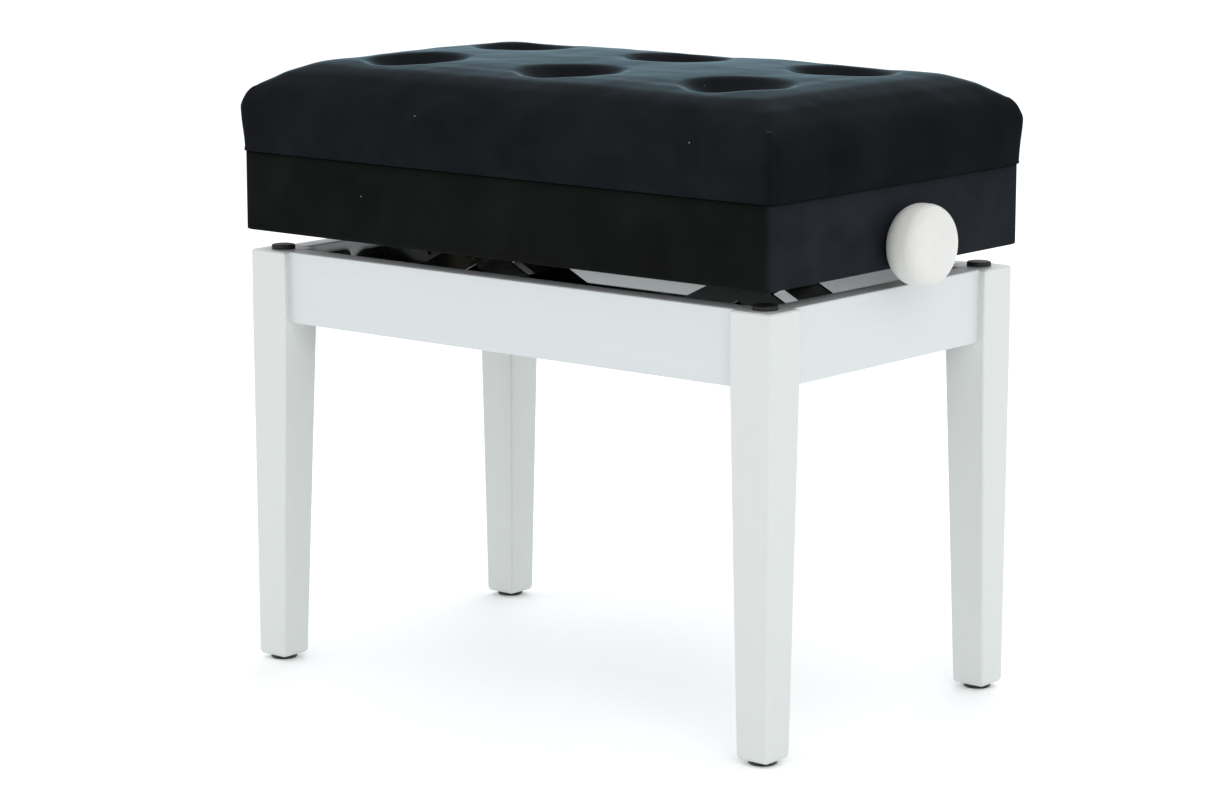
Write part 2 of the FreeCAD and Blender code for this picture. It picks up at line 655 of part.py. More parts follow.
def cushion_shape(inset):
    """The cushion's outline, or the same shape drawn in all round by inset."""
    half_x = SEAT_LENGTH / 2 + CUSHION_OVERHANG - inset
    half_y = SEAT_WIDTH / 2 + CUSHION_OVERHANG - inset
    base, top = PANEL_TOP + inset, PANEL_TOP + CUSHION_HEIGHT - inset
    side = PANEL_TOP + CUSHION_SIDE_HEIGHT
    radius = CUSHION_CORNER_RADIUS
    bulge = CUSHION_BULGE
    wires = [
        rounded_rectangle(half_x, half_y, radius, base),
        rounded_rectangle(half_x + bulge / 2, half_y + bulge / 2, radius, (base + side) / 2),
        rounded_rectangle(half_x + bulge, half_y + bulge, radius, side),
    ]
    for share, step in SHOULDER_INSETS:
        z = side + share * (top - side)
        wires.append(rounded_rectangle(half_x + bulge - step, half_y + bulge - step, radius, z))
    return loft(wires)


def tuft_places():
    return [(i * TUFT_SPACING_X, j * TUFT_SPACING_Y / 2) for i in (-1, 0, 1) for j in (-1, 1)]


def dimples(thickness):
    """Balls that press the six tufts in, smaller by the given thickness."""
    ball = (DIMPLE_RADIUS**2 + DIMPLE_DEPTH**2) / (2 * DIMPLE_DEPTH)
    height = PANEL_TOP + CUSHION_HEIGHT - DIMPLE_DEPTH + ball
    return group(Part.makeSphere(ball + thickness, V(x, y, height)) for x, y in tuft_places())


def button_seat():
    return PANEL_TOP + CUSHION_HEIGHT - DIMPLE_DEPTH


def tuft_button(x, y):
    """A covered button at the bottom of its dimple, with the cord that ties it down to the board."""
    z = button_seat()
    ball = (BUTTON_RADIUS**2 + BUTTON_HEIGHT**2) / (2 * BUTTON_HEIGHT)
    dome = Part.makeSphere(ball, V(x, y, z + BUTTON_HEIGHT - ball))
    cap = dome.common(rod(BUTTON_RADIUS, V(x, y, z + BUTTON_EDGE), V(x, y, z + 2 * BUTTON_HEIGHT)))
    tie_end = PANEL_TOP + VELVET + CUSHION_BOARD - TIE_IN_BOARD
    tie = rod(TIE_RADIUS, V(x, y, tie_end), V(x, y, z + BUTTON_HEIGHT / 2))
    return fused([cap, tie])


def cushion_board():
    inset = CUSHION_OVERHANG - VELVET
    half_x, half_y = SEAT_LENGTH / 2 + inset, SEAT_WIDTH / 2 + inset
    low, high = PANEL_TOP + VELVET, PANEL_TOP + VELVET + CUSHION_BOARD
    radius = CUSHION_CORNER_RADIUS - VELVET
    return loft([rounded_rectangle(half_x, half_y, radius, z) for z in (low, high)])


def cushion_foam():
    """Foam on the board, pressed in at the tufts."""
    low = PANEL_TOP + VELVET + CUSHION_BOARD
    above = box(-SEAT_LENGTH, SEAT_LENGTH, -SEAT_WIDTH, SEAT_WIDTH, low, low + CUSHION_HEIGHT)
    return cushion_shape(VELVET).common(above).cut(dimples(VELVET))


def cushion_cover():
    """Velvet all round the foam and the board."""
    return cushion_shape(0).cut(dimples(0)).cut(cushion_foam()).cut(cushion_board())


# Screw and knob --------------------------------------------------------------------------------


def knob_start():
    return SEAT_LENGTH / 2 + KNOB_GAP


def lead_screw():
    return rod(
        LEAD_SCREW_RADIUS,
        V(-BEARING_X - COLLAR_WIDTH - PLATE, 0, SCREW_AXIS_Z),
        V(knob_start() + KNOB_SOCKET, 0, SCREW_AXIS_Z),
    )


def screw_collars():
    """Three thrust collars: one each side of the right bearing and one inside the left bearing."""
    gap = PLATE / 2 + SLOT_CLEARANCE
    starts = (BEARING_X + gap, BEARING_X - gap - COLLAR_WIDTH, -BEARING_X + gap)
    rings = []
    for x in starts:
        ring = rod(COLLAR_RADIUS, V(x, 0, SCREW_AXIS_Z), V(x + COLLAR_WIDTH, 0, SCREW_AXIS_Z))
        rings.append(ring.cut(lead_screw()))
    return rings


def knob():
    """A turned knob with a softly domed face, bored to take the end of the screw."""
    x0, x1 = knob_start(), knob_start() + KNOB_LENGTH
    body = rod(KNOB_RADIUS, V(x0, 0, SCREW_AXIS_Z), V(x1, 0, SCREW_AXIS_Z))
    ball = (KNOB_RADIUS**2 + KNOB_DOME**2) / (2 * KNOB_DOME)
    body = body.common(Part.makeSphere(ball, V(x1 - ball, 0, SCREW_AXIS_Z)))
    back = [e for e in circles(body) if e.BoundBox.XMax < x0 + NEAR]
    body = body.makeFillet(KNOB_BACK_RADIUS, back)
    front = [e for e in circles(body) if e.BoundBox.XMin > x1 - 2 * KNOB_DOME]
    body = body.makeFillet(KNOB_FRONT_RADIUS, front[:1])
    return body.cut(lead_screw())


# Assembly --------------------------------------------------------------------------------------


def leg_frame():
    parts = {}
    bolts, washers, nuts, screws, nails = [], [], [], [], []
    for name, (sx, sy) in CORNERS.items():
        parts[f"corner_bracket_{name}"] = placed(corner_bracket(), sx, sy).cut(
            group(placed(s, sx, sy) for s in bracket_screws())
        )
        parts[f"bumper_{name}"] = placed(bumper(), sx, sy)
        parts[f"glide_{name}"] = placed(glide().cut(glide_nail()), sx, sy)
        bolts.append(placed(leg_bolt(), sx, sy))
        washers.append(placed(leg_washer(), sx, sy))
        nuts.append(placed(leg_nut(), sx, sy))
        nails.append(placed(glide_nail(), sx, sy))
        screws += [placed(s, sx, sy) for s in bracket_screws()]
        parts[f"leg_{name}"] = placed(leg().cut(group([leg_bolt(), bumper(), glide_nail()])), sx, sy)
    screws += end_plate_screws() + [mirrored(s, X) for s in end_plate_screws()]
    parts["leg_bolts"] = group(bolts)
    parts["leg_nuts_and_washers"] = group(washers + nuts)
    parts["glide_nails"] = group(nails)
    parts["frame_screws"] = group(screws)
    fixed = group(screws)
    for name, sign in DEPTHS.items():
        parts[f"rail_{name}"] = placed(long_rail(), 1, sign).cut(fixed)
        parts[f"base_rail_{name}"] = placed(base_rail(), 1, sign)
    for name, sign in SIDES.items():
        parts[f"rail_{name}"] = placed(end_rail(), sign, 1).cut(fixed)
        parts[f"end_plate_{name}"] = placed(end_plate(), sign, 1).cut(fixed)
    parts["lower_pivots"] = group(
        lower_pivot(sx * OUTER_PIVOT_X, sy) for sx in (-1, 1) for sy in (-1, 1)
    )
    return parts


def lifts():
    parts = {}
    for name, sign in SIDES.items():
        parts[f"outer_arm_{name}"] = placed(outer_arm(), sign, 1)
        parts[f"inner_arm_{name}"] = placed(inner_arm(), sign, 1)
        parts[f"crossing_rod_{name}"] = placed(crossing_rod(), sign, 1)
        parts[f"slide_rod_{name}"] = placed(slide_rod(), sign, 1)
        parts[f"slide_shoes_{name}"] = group(placed(s, sign, 1) for s in slide_shoes())
        parts[f"screw_nut_{name}"] = placed(screw_nut(), sign, 1)
    return parts


def seat():
    parts = {}
    rail_screws, board_screws = steel_screws(), cushion_screws()
    buttons = [tuft_button(x, y) for x, y in tuft_places()]
    for name, sign in DEPTHS.items():
        parts[f"upper_rail_{name}"] = placed(upper_rail(), 1, sign).cut(group(rail_screws))
        parts[f"skirt_board_{name}"] = placed(long_skirt_board(), 1, sign)
    for name, sign in SIDES.items():
        parts[f"screw_bearing_{name}"] = placed(screw_bearing(), sign, 1).cut(group(rail_screws))
        parts[f"skirt_board_{name}"] = placed(end_skirt_board(sign > 0), sign, 1)
    parts["upper_pivots"] = group(
        upper_pivot(sx * OUTER_PIVOT_X, sy) for sx in (-1, 1) for sy in (-1, 1)
    )
    parts["skirt_cover"] = skirt_cover()
    parts["seat_panel"] = seat_panel().cut(group(rail_screws + board_screws))
    parts["seat_screws"] = group(rail_screws + board_screws)
    parts["cushion_board"] = cushion_board().cut(group(buttons + board_screws))
    parts["cushion_foam"] = cushion_foam().cut(group(buttons))
    parts["cushion_cover"] = cushion_cover().cut(group(buttons + board_screws))
    parts["tuft_buttons"] = group(buttons)
    return parts


def drive():
    return {"lead_screw": lead_screw(), "screw_collars": group(screw_collars()), "knob": knob()}


def main():
    os.makedirs("parts", exist_ok=True)
    parts = {**leg_frame(), **lifts(), **seat(), **drive()}
    for name, shape in parts.items():
        shape.exportStep(f"parts/{name}.step")
    print(len(parts), "parts")
    for name, shape in parts.items():
        if not shape.isValid() or not shape.Solids:
            print("check", name, shape.isValid(), len(shape.Solids))


main()
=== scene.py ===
import math

import bmesh
import bpy
import numpy
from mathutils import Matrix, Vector, noise


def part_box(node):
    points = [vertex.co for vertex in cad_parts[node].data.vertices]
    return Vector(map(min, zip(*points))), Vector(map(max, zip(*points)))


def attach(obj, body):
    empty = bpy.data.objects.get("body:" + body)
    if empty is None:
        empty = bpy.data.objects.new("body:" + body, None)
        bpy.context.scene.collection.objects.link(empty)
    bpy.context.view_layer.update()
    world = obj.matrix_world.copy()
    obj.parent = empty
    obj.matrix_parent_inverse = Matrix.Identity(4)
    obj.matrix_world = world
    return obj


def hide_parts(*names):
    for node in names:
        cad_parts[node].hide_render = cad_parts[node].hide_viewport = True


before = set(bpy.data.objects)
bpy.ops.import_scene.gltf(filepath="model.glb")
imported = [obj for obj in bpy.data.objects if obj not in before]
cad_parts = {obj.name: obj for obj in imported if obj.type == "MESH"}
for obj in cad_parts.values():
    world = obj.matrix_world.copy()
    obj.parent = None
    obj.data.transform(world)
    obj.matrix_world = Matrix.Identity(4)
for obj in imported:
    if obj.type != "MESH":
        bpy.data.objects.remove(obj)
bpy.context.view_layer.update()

# Height-adjustable piano bench: white lacquered legs and rails, a black enamelled scissor lift, and a seat
# box and button-tufted cushion in black velvet. Metres, in the frame's own axes.

MM = 0.001
CORNERS = [f"{depth}_{side}" for depth in ("front", "rear") for side in ("left", "right")]
SKIRT_BOARDS = [f"skirt_board_{side}" for side in ("front", "rear", "left", "right")]


# Places read from the frame --------------------------------------------------------------------


def corners(node):
    """A node's lowest and highest corners at rest."""
    low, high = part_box(node)
    return Vector(low), Vector(high)


SKIRT_LOW, SKIRT_HIGH = corners("skirt_cover")
CUSHION_LOW, CUSHION_HIGH = corners("cushion_cover")
KNOB_LOW, KNOB_HIGH = corners("knob")
SCREW_LOW, SCREW_HIGH = corners("lead_screw")
SCREW_HEIGHT = (SCREW_LOW.z + SCREW_HIGH.z) / 2
BUTTONS_HIGH = corners("tuft_buttons")[1]


# Camera and light ------------------------------------------------------------------------------

CAMERA_PLACE = Vector((1.8746, -2.3084, 0.7882))
CAMERA_TURN = math.radians(39.374)
CAMERA_TILT = math.radians(10.72)
SENSOR = 36.0
FOCAL_LENGTH = 109.42
FLOOR_REACH = 20


def add_camera():
    """A long lens from the front right, a little above the seat."""
    data = bpy.data.cameras.new("camera")
    data.sensor_width = SENSOR
    data.lens = FOCAL_LENGTH
    data.clip_start, data.clip_end = 0.05, 60
    camera = bpy.data.objects.new("camera", data)
    camera.location = CAMERA_PLACE
    camera.rotation_euler = (math.pi / 2 - CAMERA_TILT, 0, CAMERA_TURN)
    bpy.context.collection.objects.link(camera)
    bpy.context.scene.camera = camera


def linear(colour):
    """An sRGB hex colour as linear red, green, blue and alpha."""
    parts = [int(colour[i : i + 2], 16) / 255 for i in (1, 3, 5)]
    return [p / 12.92 if p <= 0.04045 else ((p + 0.055) / 1.055) ** 2.4 for p in parts] + [1.0]


def add_light(name, place, target, size, power, colour):
    data = bpy.data.lights.new(name, "AREA")
    data.shape = "RECTANGLE"
    data.size, data.size_y = size
    data.energy = power
    data.color = linear(colour)[:3]
    light = bpy.data.objects.new(name, data)
    light.location = place
    light.rotation_euler = (Vector(target) - Vector(place)).to_track_quat("-Z", "Y").to_euler()
    bpy.context.collection.objects.link(light)


def add_studio():
    """Even white light from all round, a soft key from the front right and a wide cool light from behind."""
    world = bpy.data.worlds.new("studio")
    world.use_nodes = True
    sky = world.node_tree.nodes["Background"]
    sky.inputs["Color"].default_value = linear("#FDFEFF")
    sky.inputs["Strength"].default_value = 1.08
    bpy.context.scene.world = world
    add_light("key", (2.4, -1.6, 2.2), (0, 0, 0.3), (1.4, 1.4), 12, "#FFFFFF")
    add_light("rear", (-1.2, 2.6, 1.9), (0, 0, 0.5), (2.4, 1.0), 22, "#EAF4FF")
    bpy.context.scene.view_settings.view_transform = "Standard"


def add_floor():
    bm = bmesh.new()
    bmesh.ops.create_grid(bm, x_segments=8, y_segments=8, size=FLOOR_REACH)
    floor = mesh_object("floor", bm)
    floor.data.materials.append(painted_floor())


# Mesh helpers ----------------------------------------------------------------------------------


def mesh_object(name, bm):
    """A smooth-shaded piece from a bmesh, which is used up."""
    bmesh.ops.recalc_face_normals(bm, faces=bm.faces)
    data = bpy.data.meshes.new(name)
    bm.to_mesh(data)
    bm.free()
    for polygon in data.polygons:
        polygon.use_smooth = True
    piece = bpy.data.objects.new(name, data)
    bpy.context.collection.objects.link(piece)
    return piece


def finished(piece, body, material):
    """Coats a piece and lets it ride on a body."""
    piece.data.materials.append(material)
    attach(piece, body)
    return piece


def quads_between(bm, first, second):
    """Faces between two closed rows of vertices of the same length."""
    count = len(first)
    for i in range(count):
        j = (i + 1) % count
        bm.faces.new((first[i], first[j], second[j], second[i]))


def lathe(name, profile, axis_point, segments):
    """A closed body turned about an axis along X: profile is a list of (x, radius)."""
    bm = bmesh.new()
    rows = []
    for x, radius in profile:
        row = []
        for i in range(segments):
            turn = 2 * math.pi * i / segments
            from_axis = Vector((x, radius * math.sin(turn), radius * math.cos(turn)))
            row.append(bm.verts.new(axis_point + from_axis))
        rows.append(row)
    for first, second in zip(rows, rows[1:]):
        quads_between(bm, first, second)
    bm.faces.new(rows[0])
    bm.faces.new(rows[-1])
    return mesh_object(name, bm)


def arc(centre, radius, start, end, steps):
    """Points on a circle in a plane, from start to end degrees."""
    points = []
    for i in range(steps + 1):
        turn = math.radians(start + (end - start) * i / steps)
        points.append((centre[0] + radius * math.cos(turn), centre[1] + radius * math.sin(turn)))
    return points


def rounded_rectangle(half_x, half_y, radius, spacing):
    """Points round a rectangle with round corners, with each point's outward direction."""
    points = []
    steps = max(6, int(math.pi * radius / spacing))
    for quarter, (cx, cy) in enumerate(((1, 1), (-1, 1), (-1, -1), (1, -1))):
        centre = Vector((cx * (half_x - radius), cy * (half_y - radius)))
        for i in range(steps + 1):
            turn = math.pi / 2 * (quarter + i / steps)
            out = Vector((math.cos(turn), math.sin(turn)))
            points.append((centre + out * radius, out))
        run = 2 * ((half_y if quarter % 2 else half_x) - radius)
        count = int(run / spacing)
        start, out = points[-1]
        along = Vector((-out.y, out.x))
        for i in range(1, count):
            points.append((start + along * (run * i / count), out))
    return points


# Materials -------------------------------------------------------------------------------------


def socket(node, key):
    """An input by its number, or by its name: the one that is in use, where a mix node has several."""
    if isinstance(key, int):
        return node.inputs[key]
    return next(s for s in node.inputs if s.name == key and s.enabled)


def add(tree, kind, values=(), **settings):
    """One node, with its settings; values pairs an input with a number, a colour or another's output."""
    made = tree.nodes.new(kind)
    for key, value in settings.items():
        setattr(made, key, value)
    for key, value in dict(values).items():
        if isinstance(value, bpy.types.NodeSocket):
            tree.links.new(value, socket(made, key))
        else:
            socket(made, key).default_value = value
    return made


def blank(name):
    """A material with a principled shader and its output, and the tree that holds them."""
    material = bpy.data.materials.new(name)
    material.use_nodes = True
    tree = material.node_tree
    return material, tree, tree.nodes["Principled BSDF"]


def per_mm(size):
    """The scale that makes one cell of a noise this many millimetres wide."""
    return 1 / (size * MM)


def grain_space(tree, stretch):
    """Object coordinates squeezed along the grain, so that a noise draws out along it."""
    place = add(tree, "ShaderNodeTexCoord").outputs["Object"]
    return add(tree, "ShaderNodeMapping", {"Vector": place, "Scale": stretch}).outputs["Vector"]


def coloured(mix):
    """A mix node's output that is in use."""
    return next(s for s in mix.outputs if s.enabled)


def mix_colours(tree, share, first, second):
    """The colour that lies this share of the way from the first to the second."""
    values = {"Factor": share, "A": linear(first), "B": linear(second)}
    return coloured(add(tree, "ShaderNodeMix", values, data_type="RGBA"))


GRAIN = {"x": (0.03, 1, 1), "y": (1, 0.03, 1), "z": (1, 1, 0.03)}


def sprayed_lacquer(name, along, tone, shade):
    """White catalysed lacquer sprayed on beech. The wood's grain still telegraphs through as long, very
    shallow ridges, and the film's thickness wanders, which the eye reads as a soft uneven white."""
    material, tree, shader = blank(name)
    space = grain_space(tree, GRAIN[along])
    grain = add(tree, "ShaderNodeTexNoise", {"Vector": space, "Scale": per_mm(2.2), "Detail": 5.0})
    wide = add(tree, "ShaderNodeTexNoise", {"Vector": space, "Scale": per_mm(38), "Detail": 2.0})
    film = {0: wide.outputs["Fac"], 1: grain.outputs["Fac"], 2: 0.1}
    cloud = add(tree, "ShaderNodeMath", film, operation="MULTIPLY_ADD")
    tree.links.new(mix_colours(tree, cloud.outputs[0], shade, tone), shader.inputs["Base Color"])
    span = add(tree, "ShaderNodeMapRange", {"Value": grain.outputs["Fac"], "To Min": 0.33, "To Max": 0.44})
    tree.links.new(span.outputs["Result"], shader.inputs["Roughness"])
    relief = {"Height": grain.outputs["Fac"], "Strength": 0.12, "Distance": 0.15 * MM}
    ridges = add(tree, "ShaderNodeBump", relief)
    tree.links.new(ridges.outputs["Normal"], shader.inputs["Normal"])
    shader.inputs["IOR"].default_value = 1.5
    return material


def turned_satin_white():
    """Knob of turned beech under a filled white satin lacquer: even and slightly warm, with only the
    faintest turning rings, so its highlight stays broad and soft."""
    material, tree, shader = blank("turned_satin_white")
    space = grain_space(tree, (1, 0.25, 0.25))
    rings = add(tree, "ShaderNodeTexNoise", {"Vector": space, "Scale": per_mm(3.0), "Detail": 3.0})
    white = mix_colours(tree, rings.outputs["Fac"], "#D0D0CC", "#D9D9D5")
    tree.links.new(white, shader.inputs["Base Color"])
    span = add(tree, "ShaderNodeMapRange", {"Value": rings.outputs["Fac"], "To Min": 0.34, "To Max": 0.46})
    tree.links.new(span.outputs["Result"], shader.inputs["Roughness"])
    relief = {"Height": rings.outputs["Fac"], "Strength": 0.06, "Distance": 0.1 * MM}
    fine = add(tree, "ShaderNodeBump", relief)
    tree.links.new(fine.outputs["Normal"], shader.inputs["Normal"])
    return material


def cut_pile_velvet(name, front, end):
    """Cotton velvet with a short cut pile. The pile swallows light seen face on; the blue-grey it shows when
    seen along the surface is a painted sheen mixed into its colour, on faces that turn up to the light.
    The ends' tone differs from the front's, partly because each panel's pile lies its own way and partly as
    painted shade; patches are brushed back, and a few pale fibres sit on top. The pile's ends are drawn
    coarse, to show at all."""
    material, tree, shader = blank(name)
    place = add(tree, "ShaderNodeTexCoord").outputs["Object"]
    facing = add(tree, "ShaderNodeNewGeometry").outputs["Normal"]
    parts = add(tree, "ShaderNodeSeparateXYZ", {"Vector": facing}).outputs
    endwise = add(tree, "ShaderNodeMath", {0: parts["X"]}, operation="ABSOLUTE").outputs[0]
    # Weights the painted sheen towards faces that turn up, where the light falls on them.
    tilt = {"Value": parts["Z"], "From Min": -0.5, "From Max": 0.15, "To Min": 0.05}
    top_lit_mask = add(tree, "ShaderNodeMapRange", tilt).outputs["Result"]
    patches = {"Vector": place, "Scale": per_mm(48), "Detail": 6.0, "Distortion": 0.5}
    nap = add(tree, "ShaderNodeTexNoise", patches).outputs["Fac"]
    pile_ends = add(tree, "ShaderNodeTexNoise", {"Vector": place, "Scale": per_mm(0.9), "Detail": 2.0})
    brushed = {"Value": nap, "From Min": 0.3, "From Max": 0.7, "To Min": 0.72, "To Max": 1.25}
    lie = add(tree, "ShaderNodeMapRange", brushed).outputs["Result"]
    # Front and end tones chosen by which way the face turns: partly the pile lying its own way on each
    # panel, partly painted shade.
    panel = mix_colours(tree, endwise, front, end)
    face = add(tree, "ShaderNodeVectorMath", {0: panel, 1: lie}, operation="MULTIPLY").outputs["Vector"]
    seen_along = add(tree, "ShaderNodeLayerWeight", {"Blend": 0.5}).outputs["Facing"]
    grazing_painted_sheen = add(tree, "ShaderNodeMath", {0: seen_along, 1: 8.0}, operation="POWER").outputs[0]
    painted_sheen = add(tree, "ShaderNodeMath", {0: grazing_painted_sheen, 1: top_lit_mask}, operation="MULTIPLY").outputs[0]
    # The pile's colour with a blue-grey painted sheen mixed in where the surface is seen along its length.
    pile = add(tree, "ShaderNodeMix", {"Factor": painted_sheen, "A": face, "B": linear("#6E8994")}, data_type="RGBA")
    lint = add(tree, "ShaderNodeTexVoronoi", {"Vector": place, "Scale": per_mm(34), "Randomness": 1.0})
    fleck = add(tree, "ShaderNodeMath", {0: lint.outputs["Distance"], 1: 0.014}, operation="LESS_THAN")
    lit = {"Factor": fleck.outputs[0], "A": coloured(pile), "B": linear("#8D9294")}
    dusted = coloured(add(tree, "ShaderNodeMix", lit, data_type="RGBA"))
    tree.links.new(dusted, shader.inputs["Base Color"])
    shader.inputs["Roughness"].default_value = 0.95
    shader.inputs["Specular IOR Level"].default_value = 0.04
    shader.inputs["Sheen Weight"].default_value = 0.015
    shader.inputs["Sheen Roughness"].default_value = 0.4
    shader.inputs["Sheen Tint"].default_value = linear("#9FB6C2")
    fine_relief = {"Height": pile_ends.outputs["Fac"], "Strength": 0.35, "Distance": 0.4 * MM}
    fine = add(tree, "ShaderNodeBump", fine_relief).outputs["Normal"]
    soft_relief = {"Height": nap, "Normal": fine, "Strength": 0.3, "Distance": 2 * MM}
    tree.links.new(add(tree, "ShaderNodeBump", soft_relief).outputs["Normal"], shader.inputs["Normal"])
    return material


def stoved_black_enamel():
    """Black enamel baked on pressed steel sheet: deep gloss with a slight orange peel that bends the
    reflections of the white rails round it."""
    material, tree, shader = blank("stoved_black_enamel")
    place = add(tree, "ShaderNodeTexCoord").outputs["Object"]
    peel = add(tree, "ShaderNodeTexNoise", {"Vector": place, "Scale": per_mm(2.5), "Detail": 1.0})
    smears = add(tree, "ShaderNodeTexNoise", {"Vector": place, "Scale": per_mm(30), "Detail": 3.0})
    black = mix_colours(tree, smears.outputs["Fac"], "#0A0A0B", "#141415")
    tree.links.new(black, shader.inputs["Base Color"])
    span = add(tree, "ShaderNodeMapRange", {"Value": smears.outputs["Fac"], "To Min": 0.1, "To Max": 0.26})
    tree.links.new(span.outputs["Result"], shader.inputs["Roughness"])
    relief = {"Height": peel.outputs["Fac"], "Strength": 0.08, "Distance": 0.2 * MM}
    bump = add(tree, "ShaderNodeBump", relief)
    tree.links.new(bump.outputs["Normal"], shader.inputs["Normal"])
    return material


def plated(name, light, dark):
    """Steel fasteners and rods under zinc plate with a passivated film, pale yellow or blue-white, or
    under a black oxide: metal, faintly clouded, with the fine texture that drawing leaves."""
    material, tree, shader = blank(name)
    place = add(tree, "ShaderNodeTexCoord").outputs["Object"]
    cloud = add(tree, "ShaderNodeTexNoise", {"Vector": place, "Scale": per_mm(6), "Detail": 4.0})
    tree.links.new(mix_colours(tree, cloud.outputs["Fac"], dark, light), shader.inputs["Base Color"])
    span = add(tree, "ShaderNodeMapRange", {"Value": cloud.outputs["Fac"], "To Min": 0.22, "To Max": 0.42})
    tree.links.new(span.outputs["Result"], shader.inputs["Roughness"])
    drawn = add(tree, "ShaderNodeTexNoise", {"Vector": place, "Scale": per_mm(0.7), "Detail": 2.0})
    relief = {"Height": drawn.outputs["Fac"], "Strength": 0.1, "Distance": 0.05 * MM}
    bump = add(tree, "ShaderNodeBump", relief)
    tree.links.new(bump.outputs["Normal"], shader.inputs["Normal"])
    shader.inputs["Metallic"].default_value = 1.0
    return material


def moulded_black(name, roughness, grit):
    """Black rubber or nylon from a mould: matt, with a fine pebbled skin."""
    material, tree, shader = blank(name)
    place = add(tree, "ShaderNodeTexCoord").outputs["Object"]
    skin = add(tree, "ShaderNodeTexNoise", {"Vector": place, "Scale": per_mm(grit), "Detail": 3.0})
    black = mix_colours(tree, skin.outputs["Fac"], "#0B0B0B", "#1C1C1D")
    tree.links.new(black, shader.inputs["Base Color"])
    shader.inputs["Roughness"].default_value = roughness
    relief = {"Height": skin.outputs["Fac"], "Strength": 0.25, "Distance": 0.1 * MM}
    bump = add(tree, "ShaderNodeBump", relief)
    tree.links.new(bump.outputs["Normal"], shader.inputs["Normal"])
    return material


def plywood_in_painted_shade():
    """Birch plywood inside the seat box, coloured near black as painted shade so that it doesn't show under
    the seat: long streaks of veneer still read through the dark colour."""
    material, tree, shader = blank("plywood_in_painted_shade")
    space = grain_space(tree, (0.06, 1, 1))
    veneer = {"Vector": space, "Scale": per_mm(5), "Detail": 6.0, "Distortion": 0.4}
    streaks = add(tree, "ShaderNodeTexNoise", veneer)
    painted_shade_veneer = mix_colours(tree, streaks.outputs["Fac"], "#15130F", "#2A2620")
    tree.links.new(painted_shade_veneer, shader.inputs["Base Color"])
    shader.inputs["Roughness"].default_value = 0.62
    relief = {"Height": streaks.outputs["Fac"], "Strength": 0.2, "Distance": 0.2 * MM}
    bump = add(tree, "ShaderNodeBump", relief)
    tree.links.new(bump.outputs["Normal"], shader.inputs["Normal"])
    return material


def painted_floor():
    """Matt white paint, rolled on: all but even, with the faintest clouds."""
    material, tree, shader = blank("painted_floor")
    place = add(tree, "ShaderNodeTexCoord").outputs["Object"]
    dust = add(tree, "ShaderNodeTexNoise", {"Vector": place, "Scale": per_mm(400), "Detail": 2.0})
    white = mix_colours(tree, dust.outputs["Fac"], "#FAFBFB", "#FEFEFE")
    tree.links.new(white, shader.inputs["Base Color"])
    shader.inputs["Roughness"].default_value = 0.9
    shader.inputs["Emission Color"].default_value = linear("#FFFFFF")
    shader.inputs["Emission Strength"].default_value = 0.08
    return material


# Cushion ---------------------------------------------------------------------------------------

BUTTON_RADIUS = 11 * MM
BUTTON_HEIGHT = 4.5 * MM
BUTTON_SUNK = 2.5 * MM
BUTTON_SEGMENTS = 36

TUFT_X, TUFT_Y = BUTTONS_HIGH.x - BUTTON_RADIUS, BUTTONS_HIGH.y - BUTTON_RADIUS
TUFTS = [(x, y) for x in (-TUFT_X, 0, TUFT_X) for y in (-TUFT_Y, TUFT_Y)]
DIMPLE_RADIUS = 44 * MM
DIMPLE_DEPTH = 17 * MM
CUSHION_CORNER = 12 * MM
SIDE_TOP = CUSHION_LOW.z + 37 * MM
SIDE_FLARE = 2.0 * MM
MITRE_SOFTENING = 16 * MM
# The rounded shoulder: share of the crown's height, and millimetres in from the cushion's edge.
SHOULDER = ((0, 0), (0.25, 4), (0.45, 11), (0.68, 26), (0.85, 44), (0.95, 64), (0.99, 86), (1, 110))
CELLS = (140, 88, 14)

# The cover is cut this much smaller than the stuffed cushion, at its sides and at its crown.
SLACK = 0.2 * MM
CROWN_SLACK = 2.5 * MM
STUFFING_PRESSURE = 4
STUFFING_FRAMES = 20
VELVET_STIFFNESS = 60
SWELL_CAP = 5 * MM
SWELL_SMOOTHING = 40

SEAM_TOP = CUSHION_LOW.z + 64 * MM
SEAM_FADE = 12 * MM
SEAM_WIDTH = 2.6 * MM
SEAM_DEPTH = 1.3 * MM
SEAM_REACH = 2.5
SEAM_REGION = 60 * MM
FOLDED_EDGE = math.radians(60)
# How uneven the stuffing feels: bumps per metre, and their height.
UNEVENNESS = ((22, 0.7 * MM), (60, 0.25 * MM))


def smooth_step(t):
    """From 0 to 1, level at both ends."""
    t = min(1.0, max(0.0, t))
    return t * t * (3 - 2 * t)


def shoulder_height(inset):
    """Share of the crown's height reached at this distance in from the edge."""
    inset_mm = inset / MM
    for (low_share, low), (high_share, high) in zip(SHOULDER, SHOULDER[1:]):
        if inset_mm <= high:
            return low_share + (high_share - low_share) * (inset_mm - low) / (high - low)
    return 1.0


def tuft_distance(x, y):
    """Distance to the nearest tuft's middle."""
    return min(math.hypot(x - tuft_x, y - tuft_y) for tuft_x, tuft_y in TUFTS)


def dimple(x, y):
    """How far the nearest tuft pulls the top down at a place."""
    away = tuft_distance(x, y) / DIMPLE_RADIUS
    return DIMPLE_DEPTH * max(0.0, 1 - away * away)


